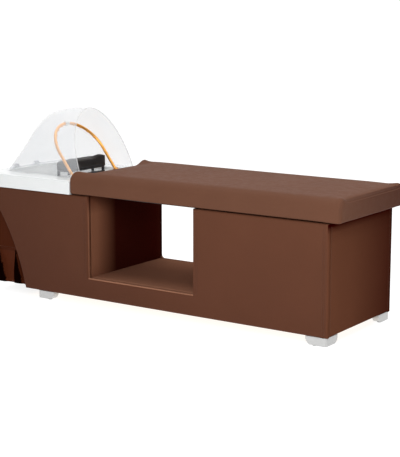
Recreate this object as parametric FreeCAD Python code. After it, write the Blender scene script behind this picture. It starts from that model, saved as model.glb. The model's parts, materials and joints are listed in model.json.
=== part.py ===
"""Shampoo backwash unit: an upholstered bed on a boxed base, with a basin, hood and water ring.

Millimetres. X runs along the bed: the head end is -X and the foot end is +X. The front is -Y and
the floor is Z = 0. The origin is on the floor, under the middle of the unit.
"""
import FreeCAD, Part
import math
import os
from FreeCAD import Vector as V

# ---- driving dimensions ----------------------------------------------------------------------
HALF_LENGTH = 1050.0      # pad's foot end and basin's head end
HALF_WIDTH = 311.0        # base and basin
PAD_HALF_WIDTH = 321.0
BASE_BOTTOM = 42.0
BASE_TOP = 552.0
BASE_FOOT = 984.0         # foot-end face of the base
BASE_TOE = -773.0         # where the slanted head edge starts, at the base's bottom
SLANT_TOP = -1035.0       # where it ends, at the base's top
SLANT_MID = (-838.0, 248.0)
PAD_HEAD = -466.0         # where the pad ends and the basin begins
PAD_BOTTOM = 556.0
PAD_TOP = 657.0
PAD_EDGE_R = 42.0
SCOOP_DEPTH = 17.0
SCOOP_HALF_WIDTH = 200.0
SCOOP_LENGTH = 190.0
PANEL = 24.0              # upholstered panel
BOARD = 18.0              # plywood board
INNER = HALF_WIDTH - PANEL
GATE_HEAD = -354.0        # the opening through the base
GATE_FOOT = 270.0
GATE_FLOOR = 145.0
PAD_BOARD = 15.0
PAD_BOARD_INSET = 36.0    # keeps its edge out of sight under the pad
RAIL_W = 40.0
RAIL_H = 30.0
RAIL_WALL = 2.0
RAIL_Y = 120.0
SEAT_OVERLAP = 70.0       # length of a rail past each side of the opening

FOOT_ARM = 105.0
FOOT_FLAT = 78.0
ARM_SHARE = 0.62          # how far along an arm its screw and glide are
FOOT_THICK = 36.0
FOOT_INSET = 4.0
HEAD_FOOT_X = -689.0
GLIDE_H = 4.0
GLIDE_R = 11.0
SCREW_R = 3.0
SCREW_HEAD_R = 6.0
SCREW_HEAD_H = 4.0
SCREW_DEPTH = 14.0
SCREW_INSET = 27.0        # from the arm's outer face
HOLE_GAP = 0.2

RIM_TOP = 620.0           # basin
DECK = 606.0
BASIN_WALL = 8.0
BASIN_EDGE_R = 9.0
BASIN_CORNER_R = 26.0
DECK_HALF_WIDTH = 206.0
DECK_HEAD = -990.0
DECK_FOOT = -486.0
DECK_R = 60.0
BOWL_HEAD = -985.0
BOWL_FOOT = -698.0
BOWL_HALF_WIDTH = 178.0
BOWL_FLOOR = 436.0
BOWL_TAPER = 62.0         # how far each wall leans in from rim to floor
BOWL_R = 70.0
BOWL_WALL = 6.0
DRAIN_X = -842.0
DRAIN_R = 20.0

APRON = 4.0
APRON_Y = 281.0
APRON_HEM = 226.0
APRON_LAP = 25.0
APRON_TOP = 548.0
APRON_HEAD_X = -1031.0
CURTAIN = 30.0
CURTAIN_BOTTOM = 45.0
CURTAIN_FOOT = -806.0

RING_X = -556.0           # water ring's pivot
RING_Z = 616.0
RING_TILT = 37.0
RING_HALF_WIDTH = 172.0
RING_RISE = 308.0         # pivot to crown, along the ring
RING_TUBE_R = 7.5
RING_BORE_R = 6.0
SPINDLE_R = 5.0
RUN_GAP = 0.05
NOZZLES = 9

REST_X = -648.0           # neck rest
REST_DEPTH = 98.0
REST_HALF_WIDTH = 147.0
REST_BOTTOM = 636.0
REST_HORN = 696.0
REST_DIP = 682.0
REST_END = 26.0           # how far in from each end the rounding starts
REST_LEG = 10.0
REST_POST = 12.0
REST_BAR_H = 4.5

HOOD_BACK = -1006.0       # hood
HOOD_BASE = 626.0
HOOD_RISE = 326.0
HOOD_HALF_WIDTH = 215.0
HOOD_WALL = 3.0
HOOD_CORNER_R = 100.0
HOOD_FRONT = -474.0
HOOD_LEAN = 0.368         # how far the opening leans back per unit of height
FLANGE = 12.0
FLANGE_H = 4.0
TRIM = 6.0
HINGE_X = -1028.0
HINGE_Z = 633.0
HINGE_Y = 80.0
KNUCKLE_R = 6.5
PIN_R = 2.5
KNUCKLE_W = 18.0
EAR_W = 6.0

TAP_X = -1020.0           # mixer tap
TAP_Y = -268.0
TAP_R = 18.0
TAP_TOP = 662.0
CAP_TOP = 678.0
LEVER_Z = 687.0
OUTLET_Z = 641.0          # the hand shower's hose tail
OUTLET_R = 7.0
OUTLET_LEN = 12.0
SUPPLY_R = 5.0
SUPPLY_APART = 7.0        # each tube's distance from the tap's axis
NOTCH_GAP = 4.0           # round the tubes, in the head rail
NIPPLE_R = 10.45
NIPPLE_LEN = 18.0
NIPPLE_TOP = 60.0
SUPPLY_TOP = DECK - 20
SUPPLY_TURN = 520.0
SUPPLY_X = -985.0
SUPPLY_Y = -212.0
SUPPLY_SPREAD = 2.6       # how far the tubes part below the tap
FEED_Z = 574.0
FEED_Y = 193.0
SUPPLY_PLACES = ((TAP_X, TAP_Y + SUPPLY_APART), (TAP_X, TAP_Y - SUPPLY_APART))

TRAP_R = 34.0
WASTE_R = 20.0
WASTE_WALL = 2.5
WASTE_X = -948.0
WASTE_END = 12.0

os.makedirs("parts", exist_ok=True)
Y_AXIS = V(0, 1, 0)
Z_AXIS = V(0, 0, 1)


# ---- helpers ---------------------------------------------------------------------------------
def save(name, shape):
    """Write one sub-part."""
    shape.exportStep("parts/%s.step" % name)


def box(x0, x1, y0, y1, z0, z1):
    return Part.makeBox(x1 - x0, y1 - y0, z1 - z0, V(x0, y0, z0))


def rod(radius, start, end):
    """A round bar from one point to another."""
    run = V(*end) - V(*start)
    return Part.makeCylinder(radius, run.Length, V(*start), run)


def ring(outer, inner, start, end):
    """A round tube from one point to another."""
    return rod(outer, start, end).cut(rod(inner, start, end))


def polygon(points):
    return Part.makePolygon([V(*p) for p in points + points[:1]])


def prism(wire, run):
    return Part.Face(wire).extrude(V(*run))


def fuse(shapes):
    whole = shapes[0]
    for shape in shapes[1:]:
        whole = whole.fuse(shape)
    return whole.removeSplitter()


def mirror_y(shape):
    return shape.mirror(V(0, 0, 0), Y_AXIS)


def rounded(x0, x1, half, radius, z):
    """A rectangle with round corners, as a wire at height z."""
    plan = box(x0, x1, -half, half, z, z + 1)
    corners = [e for e in plan.Edges if abs(e.Vertexes[0].X - e.Vertexes[-1].X) < 1
               and abs(e.Vertexes[0].Y - e.Vertexes[-1].Y) < 1]
    plan = plan.makeFillet(radius, corners)
    floor = min(plan.Faces, key=lambda face: face.CenterOfMass.z)
    return floor.OuterWire


def tub(x0, x1, half, radius, top, bottom, taper):
    """A tapered tub with round corners, closed at both ends."""
    wires = [rounded(x0, x1, half, radius, top),
             rounded(x0 + taper, x1 - taper, half - taper, radius - taper / 2, bottom)]
    return Part.makeLoft(wires, True, True)


def tube_along(edges, outer, inner):
    """A pipe along joined straight runs and arcs."""
    path = Part.Wire(edges)
    start = edges[0].valueAt(edges[0].FirstParameter)
    heading = edges[0].tangentAt(edges[0].FirstParameter)

    def sweep(radius):
        rim = Part.Wire(Part.makeCircle(radius, start, heading))
        return path.makePipeShell([rim], True, False)
    pipe = sweep(outer)
    return pipe.cut(sweep(inner)) if inner else pipe


# ---- base ------------------------------------------------------------------------------------
def slant(shift=0.0):
    """The base's curved head edge, from its bottom to its top."""
    return Part.Arc(V(BASE_TOE + shift, 0, BASE_BOTTOM), V(SLANT_MID[0] + shift, 0, SLANT_MID[1]),
                    V(SLANT_TOP + shift, 0, BASE_TOP)).toShape()


def side_panel():
    """The front side: head block, sill and foot block in one U-shaped panel."""
    corners = [(SLANT_TOP, BASE_TOP), (GATE_HEAD, BASE_TOP), (GATE_HEAD, GATE_FLOOR),
               (GATE_FOOT, GATE_FLOOR), (GATE_FOOT, BASE_TOP), (BASE_FOOT, BASE_TOP),
               (BASE_FOOT, BASE_BOTTOM), (BASE_TOE, BASE_BOTTOM)]
    edges = [Part.makeLine(V(a[0], 0, a[1]), V(b[0], 0, b[1])) for a, b in zip(corners, corners[1:])]
    panel = prism(Part.Wire(edges + [slant()]), (0, PANEL, 0))
    return panel.translated(V(0, -HALF_WIDTH, 0))


def span_rail():
    """A steel box tube that carries the pad across the opening."""
    x0, x1 = GATE_HEAD - SEAT_OVERLAP, GATE_FOOT + SEAT_OVERLAP
    y0, y1 = -RAIL_Y - RAIL_W / 2, -RAIL_Y + RAIL_W / 2
    z0, z1 = BASE_TOP - RAIL_H, BASE_TOP
    hollow = box(x0, x1, y0 + RAIL_WALL, y1 - RAIL_WALL, z0 + RAIL_WALL, z1 - RAIL_WALL)
    return box(x0, x1, y0, y1, z0, z1).cut(hollow)


def on_feet(inset):
    """Two places on each corner foot, one on each arm, at a distance in from the arm's outer face."""
    places = []
    for corner_x, way in ((BASE_FOOT - FOOT_INSET, -1), (HEAD_FOOT_X, 1)):
        for side in (-1, 1):
            y = side * (HALF_WIDTH - FOOT_INSET)
            places.append((corner_x + way * FOOT_ARM * ARM_SHARE, y - side * inset))
            places.append((corner_x + way * inset, y - side * FOOT_ARM * ARM_SHARE))
    return places


def foot_arm():
    """One arm of a corner foot, whose outer lower end curves up."""
    height = BASE_BOTTOM - GLIDE_H
    lip = 12.0
    middle = (FOOT_ARM - 0.32 * (FOOT_ARM - FOOT_FLAT), 0.36 * (height - lip))
    edges = [Part.makeLine(V(0, 0, height), V(0, 0, 0)),
             Part.makeLine(V(0, 0, 0), V(FOOT_FLAT, 0, 0)),
             Part.Arc(V(FOOT_FLAT, 0, 0), V(middle[0], 0, middle[1]), V(FOOT_ARM, 0, height - lip)).toShape(),
             Part.makeLine(V(FOOT_ARM, 0, height - lip), V(FOOT_ARM, 0, height)),
             Part.makeLine(V(FOOT_ARM, 0, height), V(0, 0, height))]
    return prism(Part.Wire(edges), (0, FOOT_THICK, 0)).translated(V(0, 0, GLIDE_H))


def corner_foot():
    """An L-shaped foot with its outer corner at the origin, arms along +X and +Y."""
    arm = foot_arm()
    other = arm.mirror(V(0, 0, 0), V(1, -1, 0))
    foot = fuse([arm, other])
    corner = [e for e in foot.Edges if all(abs(v.X) < 0.1 and abs(v.Y) < 0.1 for v in e.Vertexes)]
    return foot.makeFillet(FOOT_THICK * 0.4, corner)


def make_base():
    front = side_panel()
    save("side_panel_front", front)
    save("side_panel_back", mirror_y(front))
    save("foot_end_panel", box(BASE_FOOT - PANEL, BASE_FOOT, -INNER, INNER, BASE_BOTTOM, BASE_TOP))
    rail = span_rail()
    rails = box(GATE_HEAD - SEAT_OVERLAP, GATE_FOOT + SEAT_OVERLAP, -RAIL_Y - RAIL_W / 2,
                -RAIL_Y + RAIL_W / 2, BASE_TOP - RAIL_H, BASE_TOP)
    save("span_rail_front", rail)
    save("span_rail_back", mirror_y(rail))
    for name, x0 in (("opening_wall_foot", GATE_FOOT), ("opening_wall_head", GATE_HEAD - BOARD)):
        wall = box(x0, x0 + BOARD, -INNER, INNER, BASE_BOTTOM + BOARD, BASE_TOP)
        save(name, wall.cut(rails).cut(mirror_y(rails)))
    save("opening_floor", box(GATE_HEAD, GATE_FOOT, -INNER, INNER, GATE_FLOOR - BOARD, GATE_FLOOR))
    board = box(BASE_TOE, BASE_FOOT - PANEL, -INNER, INNER, BASE_BOTTOM, BASE_BOTTOM + BOARD)
    screws = []
    feet = []
    for corner_x, way in ((BASE_FOOT - FOOT_INSET, -1), (HEAD_FOOT_X, 1)):
        for side in (-1, 1):
            foot = corner_foot()
            if way < 0:
                foot = foot.mirror(V(0, 0, 0), V(1, 0, 0))
            if side > 0:
                foot = mirror_y(foot)
            end = "foot" if way < 0 else "head"
            name = "corner_foot_%s_%s" % (end, "front" if side < 0 else "back")
            feet.append((name, foot.translated(V(corner_x, side * (HALF_WIDTH - FOOT_INSET), 0))))
    floor_top = BASE_BOTTOM + BOARD
    drill = []
    for x, y in on_feet(SCREW_INSET):
        low = (x, y, BASE_BOTTOM - SCREW_DEPTH)
        head = rod(SCREW_HEAD_R, (x, y, floor_top), (x, y, floor_top + SCREW_HEAD_H))
        screws.append(fuse([rod(SCREW_R, low, (x, y, floor_top)), head]))
        drill.append(rod(SCREW_R + HOLE_GAP, (x, y, low[2] - 1), (x, y, floor_top + 1)))
    drill = Part.makeCompound(drill)
    save("bottom_board", board.cut(drill))
    save("foot_screws", Part.makeCompound(screws))
    for name, foot in feet:
        save(name, foot.cut(drill))
    glides = [rod(GLIDE_R, (x, y, 0), (x, y, GLIDE_H)) for x, y in on_feet(FOOT_THICK / 2)]
    save("foot_glides", Part.makeCompound(glides))
    rail = box(SLANT_TOP + 5, SLANT_TOP + 5 + RAIL_H, -APRON_Y, APRON_Y, BASE_TOP - BOARD, BASE_TOP)
    clear = SUPPLY_R + NOTCH_GAP
    rail = rail.cut(box(SLANT_TOP, TAP_X + clear, -APRON_Y - 1, TAP_Y + SUPPLY_APART + clear,
                        BASE_TOP - BOARD - 1, BASE_TOP + 1))
    save("head_rail", rail)


# ---- pad -------------------------------------------------------------------------------------
def make_pad():
    reach = HALF_WIDTH - PAD_BOARD_INSET
    board = box(PAD_HEAD + PAD_BOARD_INSET, HALF_LENGTH - PAD_BOARD_INSET, -reach, reach,
                BASE_TOP, BASE_TOP + PAD_BOARD)
    save("pad_board", board)
    pad = box(PAD_HEAD, HALF_LENGTH, -PAD_HALF_WIDTH, PAD_HALF_WIDTH, PAD_BOTTOM, PAD_TOP)
    long_top = [e for e in pad.Edges if all(abs(v.Z - PAD_TOP) < 1 for v in e.Vertexes)
                and abs(e.Vertexes[0].Y - e.Vertexes[1].Y) < 1]
    pad = pad.makeFillet(PAD_EDGE_R, long_top)
    radius = (SCOOP_HALF_WIDTH ** 2 + SCOOP_DEPTH ** 2) / (2 * SCOOP_DEPTH)
    start = V(PAD_HEAD - 1, 0, PAD_TOP + radius - SCOOP_DEPTH)
    end = V(PAD_HEAD + SCOOP_LENGTH, 0, PAD_TOP + radius)
    scoop = Part.makeCylinder(radius, (end - start).Length, start, end - start)
    save("pad_cushion", pad.cut(scoop).cut(board))


# ---- basin and drain -------------------------------------------------------------------------
def make_basin():
    slab = box(-HALF_LENGTH, PAD_HEAD - 0.5, -HALF_WIDTH, HALF_WIDTH, BASE_TOP, RIM_TOP)
    posts = [e for e in slab.Edges if abs(e.Vertexes[0].Z - e.Vertexes[1].Z) > 1
             and e.Vertexes[0].X < -HALF_LENGTH + 1]
    slab = slab.makeFillet(BASIN_CORNER_R, posts)
    top = [e for e in slab.Edges if all(abs(v.Z - RIM_TOP) < 0.1 for v in e.Vertexes)]
    slab = slab.makeFillet(BASIN_EDGE_R, top)
    wall = BASIN_WALL
    recess = prism(rounded(DECK_HEAD, DECK_FOOT, DECK_HALF_WIDTH, DECK_R, DECK), (0, 0, RIM_TOP))
    under_deck = prism(rounded(-HALF_LENGTH + wall, PAD_HEAD - 0.5 - wall, HALF_WIDTH - wall,
                               BASIN_CORNER_R - wall, BASE_TOP - 1), (0, 0, DECK - wall - BASE_TOP + 1))
    shell = tub(BOWL_HEAD - BOWL_WALL, BOWL_FOOT + BOWL_WALL, BOWL_HALF_WIDTH + BOWL_WALL,
                BOWL_R + BOWL_WALL, DECK, BOWL_FLOOR - BOWL_WALL, BOWL_TAPER)
    hollow = tub(BOWL_HEAD, BOWL_FOOT, BOWL_HALF_WIDTH, BOWL_R, DECK, BOWL_FLOOR, BOWL_TAPER)
    basin = fuse([slab.cut(recess).cut(under_deck), shell]).cut(hollow)
    drain = rod(DRAIN_R + HOLE_GAP, (DRAIN_X, 0, BOWL_FLOOR - 40), (DRAIN_X, 0, BOWL_FLOOR + 2))
    tap_hole = rod(TAP_R - 4 + HOLE_GAP, (TAP_X, TAP_Y, DECK - 20), (TAP_X, TAP_Y, RIM_TOP + 1))
    ports = [rod(SUPPLY_R + HOLE_GAP, (RING_X, s * FEED_Y, DECK - 20), (RING_X, s * FEED_Y, DECK + 1))
             for s in (-1, 1)]
    save("basin", basin.cut(drain).cut(tap_hole).cut(Part.makeCompound(ports)))


def make_drain():
    """Flange, gasket, nut, tailpiece, bottle trap and waste pipe, from the bowl to the floor."""
    def at(z):
        return (DRAIN_X, 0, z)
    under = BOWL_FLOOR - BOWL_WALL
    flange = fuse([ring(36, 16, at(BOWL_FLOOR), at(BOWL_FLOOR + 3)),
                   ring(DRAIN_R, 16, at(under - 42), at(BOWL_FLOOR + 3))])
    save("drain_flange", flange)
    save("drain_gasket", ring(34, DRAIN_R + HOLE_GAP, at(under - 3), at(under)))
    save("drain_nut", ring(31, DRAIN_R + HOLE_GAP, at(under - 15), at(under - 3)))
    trap_top = 318.0
    trap_bottom = 205.0
    save("tailpiece", ring(15.8, 14, at(trap_bottom + 34), at(under - 20)))
    cap = ring(TRAP_R + 4, 16, at(trap_top), at(trap_top + 12))
    inside = rod(TRAP_R - 3, at(trap_bottom + 4), at(trap_top + 1))
    cup = rod(TRAP_R, at(trap_bottom), at(trap_top)).cut(inside)
    outlet_z = trap_top - 28
    bend = 46.0
    straight = Part.makeLine(V(DRAIN_X - TRAP_R + 2, 0, outlet_z), V(WASTE_X + bend, 0, outlet_z))
    quarter = Part.Arc(V(WASTE_X + bend, 0, outlet_z),
                       V(WASTE_X + bend * (1 - math.sqrt(0.5)), 0, outlet_z - bend * (1 - math.sqrt(0.5))),
                       V(WASTE_X, 0, outlet_z - bend)).toShape()
    drop = Part.makeLine(V(WASTE_X, 0, outlet_z - bend), V(WASTE_X, 0, WASTE_END))
    pipe = tube_along([straight, quarter, drop], WASTE_R, WASTE_R - WASTE_WALL)
    port = rod(WASTE_R, (DRAIN_X, 0, outlet_z), (DRAIN_X - TRAP_R - 10, 0, outlet_z))
    save("trap_body", fuse([cup.cut(port), cap]))
    save("waste_pipe", pipe.cut(rod(TRAP_R - 3, at(trap_bottom), at(trap_top))))
    cup_side = DRAIN_X - TRAP_R
    collar = ring(WASTE_R + 6, WASTE_R, (cup_side - 6, 0, outlet_z), (cup_side - 20, 0, outlet_z))
    save("trap_collar", collar)
    basket = rod(15, at(BOWL_FLOOR - 10), at(BOWL_FLOOR + 3)).cut(
        rod(13.5, at(BOWL_FLOOR - 8.5), at(BOWL_FLOOR + 4)))
    lid = rod(22, at(BOWL_FLOOR + 3), at(BOWL_FLOOR + 5))
    holes = [rod(2, at(BOWL_FLOOR - 20), at(BOWL_FLOOR + 20))]
    for count, reach in ((6, 6.0), (10, 10.5)):
        for i in range(count):
            turn = 2 * math.pi * i / count
            x, y = DRAIN_X + reach * math.cos(turn), reach * math.sin(turn)
            holes.append(rod(1.7, (x, y, BOWL_FLOOR - 20), (x, y, BOWL_FLOOR + 20)))
    knob = rod(3, at(BOWL_FLOOR + 5), at(BOWL_FLOOR + 14)).fuse(Part.makeSphere(5, V(*at(BOWL_FLOOR + 17))))
    save("strainer", fuse([fuse([basket, lid]).cut(Part.makeCompound(holes[1:])), knob]))


# ---- apron and curtain -----------------------------------------------------------------------
def make_skirt():
    """A leatherette apron under the basin's head end, with a pleated curtain hanging below it."""
    lap = slant(APRON_LAP)
    outer = Part.Wire([Part.makeLine(V(APRON_HEAD_X, 0, BASE_TOP), V(APRON_HEAD_X, 0, BASE_BOTTOM)),
                       Part.makeLine(V(APRON_HEAD_X, 0, BASE_BOTTOM), lap.valueAt(lap.FirstParameter)),
                       lap, Part.makeLine(lap.valueAt(lap.LastParameter), V(APRON_HEAD_X, 0, BASE_TOP))])
    wing = prism(outer, (0, -APRON, 0)).translated(V(0, -APRON_Y, 0))
    wing = wing.common(box(-HALF_LENGTH, BASE_TOE + 50, -HALF_WIDTH, 0, APRON_HEM, APRON_TOP))
    save("apron_front", wing)
    save("apron_back", mirror_y(wing))
    edge = APRON_Y + APRON
    save("apron_head", box(APRON_HEAD_X - APRON, APRON_HEAD_X, -edge, edge, APRON_HEM, APRON_TOP))
    drop = box(APRON_HEAD_X + CURTAIN, CURTAIN_FOOT, -edge, -edge + CURTAIN, CURTAIN_BOTTOM, APRON_HEM)
    save("curtain_front", drop)
    save("curtain_back", mirror_y(drop))
    save("curtain_head", box(APRON_HEAD_X - APRON, APRON_HEAD_X + CURTAIN - APRON, -edge, edge,
                             CURTAIN_BOTTOM, APRON_HEM))


# ---- water ring ------------------------------------------------------------------------------
def ring_point(y, along):
    """A point of the ring's leaning plane, at a distance along it from the pivot."""
    lean = math.radians(RING_TILT)
    return V(RING_X - along * math.sin(lean), y, RING_Z + along * math.cos(lean))


def make_water_ring():
    shoulder = RING_RISE - RING_HALF_WIDTH
    start = 4.0
    half = RING_HALF_WIDTH
    crown = Part.Arc(ring_point(-half, shoulder), ring_point(0, RING_RISE), ring_point(half, shoulder))
    path = [Part.makeLine(ring_point(-half, start), ring_point(-half, shoulder)), crown.toShape(),
            Part.makeLine(ring_point(half, shoulder), ring_point(half, start))]
    solid = tube_along(path, RING_TUBE_R, 0)
    save("ring_tube", tube_along(path, RING_TUBE_R, RING_BORE_R))
    for name, side in (("front", -1), ("back", 1)):
        inner, outer = side * (half - 9), side * (half + 9)
        hub = rod(9, (RING_X, inner, RING_Z), (RING_X, outer, RING_Z))
        spindle = rod(SPINDLE_R, (RING_X, outer, RING_Z), (RING_X, side * 200, RING_Z))
        save("ring_elbow_" + name, fuse([hub, spindle]).cut(solid))
        y0, y1 = sorted((side * 182, side * 204))
        block = box(RING_X - 14, RING_X + 14, y0, y1, DECK, RING_Z + 12)
        ridge = [e for e in block.Edges if all(v.Z > RING_Z for v in e.Vertexes)
                 and abs(e.Vertexes[0].X - e.Vertexes[1].X) < 1]
        block = block.makeFillet(8, ridge)
        bore = rod(SPINDLE_R + RUN_GAP, (RING_X, y0 - 1, RING_Z), (RING_X, y1 + 1, RING_Z))
        save("ring_pedestal_" + name, block.cut(bore))
    crown = ring_point(0, RING_RISE)
    fitting = rod(12, (crown.x, -14, crown.z), (crown.x, 14, crown.z))
    save("crown_fitting", fitting.cut(solid))
    nozzles = []
    for i in range(NOZZLES):
        turn = math.radians(26 + i * (180 - 52) / (NOZZLES - 1))
        if i == NOZZLES // 2:
            continue
        root = ring_point(half * math.cos(turn), shoulder + half * math.sin(turn))
        inward = ring_point(0, shoulder) - root
        inward.normalize()
        tip = root + inward * (RING_TUBE_R + 5)
        nozzles.append(rod(3.2, tuple(root), tuple(tip)).cut(solid))
    save("spray_nozzles", Part.makeCompound(nozzles))


# ---- neck rest -------------------------------------------------------------------------------
def make_neck_rest():
    x0, x1 = REST_X - REST_DEPTH / 2, REST_X + REST_DEPTH / 2
    half = REST_HALF_WIDTH
    horn = half - REST_END

    def at(y, z):
        return V(x0, y, z)
    shoulder = REST_HORN - REST_END
    outline = [Part.Arc(at(-horn, REST_HORN), at(0, REST_DIP), at(horn, REST_HORN)).toShape(),
               Part.Arc(at(horn, REST_HORN), at(half - 6, REST_HORN - 8), at(half, shoulder)).toShape(),
               Part.makeLine(at(half, shoulder), at(half, REST_BOTTOM)),
               Part.makeLine(at(half, REST_BOTTOM), at(-half, REST_BOTTOM)),
               Part.makeLine(at(-half, REST_BOTTOM), at(-half, shoulder)),
               Part.Arc(at(-half, shoulder), at(-half + 6, REST_HORN - 8), at(-horn, REST_HORN)).toShape()]
    save("neck_rest_pad", prism(Part.Wire(outline), (x1 - x0, 0, 0)))
    frame = [box(x0 + 8, x1 - 8, -half + 5, half - 5, REST_BOTTOM - 5, REST_BOTTOM),
             box(x1 - 24, x1 - 6, -half + 5, half - 5, DECK + 1.5, DECK + 1.5 + REST_BAR_H)]
    for side in (-1, 1):
        leg = sorted((side * (half - 5), side * (half - 5 - REST_LEG)))
        for x in (x0 + 14, x1 - 14):
            frame.append(box(x - REST_POST / 2, x + REST_POST / 2, leg[0], leg[1], DECK + 1.5, REST_BOTTOM - 5))
    save("neck_rest_frame", fuse(frame))
    feet = []
    for x in (x0 + 14, x1 - 14):
        for y in (-half + 10, half - 10):
            feet.append(rod(4.5, (x, y, DECK), (x, y, DECK + 1.5)))
    save("neck_rest_feet", Part.makeCompound(feet))


# ---- hood ------------------------------------------------------------------------------------
HOOD_PROFILE = ((-1004.0, 5.0), (-960.0, 73.0), (-914.0, 144.0), (-858.0, 250.0), (-815.0, 297.0),
                (-744.0, 317.0), (-666.0, HOOD_RISE))
HOOD_STATIONS = 26


def hood_profile():
    """Points along the hood's top line, from its back up to where it runs level, then to its front."""
    curve = Part.BSplineCurve()
    curve.interpolate([V(x, 0, rise) for x, rise in HOOD_PROFILE])
    points = [(p.x, p.z) for p in curve.discretize(HOOD_STATIONS)]
    return points + [(HOOD_FRONT + 44, HOOD_RISE)]


def dome(grow, bottom):
    """The hood's outside, grown or shrunk evenly, as a closed solid down to a given height."""
    wires = []
    profile = hood_profile()
    for x, rise in profile:
        inset = max(0.0, HOOD_BACK + HOOD_CORNER_R - x)
        half = HOOD_HALF_WIDTH - HOOD_CORNER_R + math.sqrt(max(HOOD_CORNER_R ** 2 - inset ** 2, 0.0)) + grow
        top = HOOD_BASE + rise + grow
        station = x - grow if x < profile[-1][0] else x
        turns = [math.pi * i / 16 for i in range(17)]
        arc = [V(station, half * math.cos(t), bottom + (top - bottom) * math.sin(t)) for t in turns]
        curve = Part.BSplineCurve()
        curve.interpolate(arc)
        wires.append(Part.Wire([curve.toShape(), Part.makeLine(arc[-1], arc[0])]))
    return Part.makeLoft(wires, True, True)


def front_cut(shift):
    """Everything in front of the hood's leaning opening, moved along X."""
    low, high = HOOD_BASE - 20, HOOD_BASE + HOOD_RISE + 40
    points = [(HOOD_FRONT - HOOD_LEAN * (z - HOOD_BASE) + shift, -400, z) for z in (low, high)]
    points += [(0, -400, high), (0, -400, low)]
    return prism(polygon(points), (0, 800, 0))


def make_hood():
    outer = dome(0, HOOD_BASE)
    shell = outer.cut(dome(-HOOD_WALL, HOOD_BASE)).cut(front_cut(0))
    save("hood_shell", shell)
    lip = dome(1.5, HOOD_BASE).cut(dome(-HOOD_WALL - 1.5, HOOD_BASE))
    save("hood_edge_trim", lip.common(front_cut(0)).cut(front_cut(TRIM)))
    reach = HOOD_HALF_WIDTH + FLANGE
    plan = prism(rounded(HOOD_BACK - FLANGE, HOOD_FRONT + 300, reach, HOOD_CORNER_R + FLANGE,
                         HOOD_BASE - FLANGE_H), (0, 0, FLANGE_H))
    hole = prism(rounded(HOOD_BACK + 6, HOOD_FRONT + 400, HOOD_HALF_WIDTH - HOOD_WALL - 3, HOOD_CORNER_R - 4,
                         HOOD_BASE - FLANGE_H - 1), (0, 0, FLANGE_H + 2))
    save("hood_flange", plan.cut(hole).cut(front_cut(0)))
    bumpers = []
    for x, y in ((-520, 221), (-520, -221), (-820, 221), (-820, -221)):
        bumpers.append(rod(4, (x, y, RIM_TOP), (x, y, HOOD_BASE - FLANGE_H)))
    save("hood_bumpers", Part.makeCompound(bumpers))


def make_hinges():
    bases, knuckles, pins, screws = [], [], [], []
    for y in (-HINGE_Y, HINGE_Y):
        axis = (HINGE_X, y, HINGE_Z)
        half = KNUCKLE_W / 2
        bore = rod(PIN_R + RUN_GAP, (HINGE_X, y - half, HINGE_Z), (HINGE_X, y + half, HINGE_Z))
        barrel = rod(KNUCKLE_R, (HINGE_X, y - half, HINGE_Z), (HINGE_X, y + half, HINGE_Z))
        arm = box(HINGE_X, HOOD_BACK - 0.5, y - half, y + half, HOOD_BASE, HOOD_BASE + 4)
        knuckles.append(fuse([barrel, arm]).cut(bore))
        ears = []
        for side in (-1, 1):
            y0, y1 = sorted((y + side * (half + 0.3), y + side * (half + 0.3 + EAR_W)))
            ear = fuse([rod(KNUCKLE_R, (HINGE_X, y0, HINGE_Z), (HINGE_X, y1, HINGE_Z)),
                        box(HINGE_X - KNUCKLE_R, HINGE_X + KNUCKLE_R, y0, y1, RIM_TOP, HINGE_Z)])
            ears.append(ear)
        reach = half + 0.3 + EAR_W
        plate = box(HINGE_X - 12, HINGE_X + 6, y - reach, y + reach, RIM_TOP, RIM_TOP + 2.5)
        pin = rod(PIN_R, (HINGE_X, y - reach - 1, HINGE_Z), (HINGE_X, y + reach + 1, HINGE_Z))
        bases.append(fuse([plate] + ears).cut(pin))
        pins.append(pin)
    save("hinge_base_front", bases[0])
    save("hinge_base_back", bases[1])
    save("hinge_knuckle_front", knuckles[0])
    save("hinge_knuckle_back", knuckles[1])
    save("hinge_pins", Part.makeCompound(pins))


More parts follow.
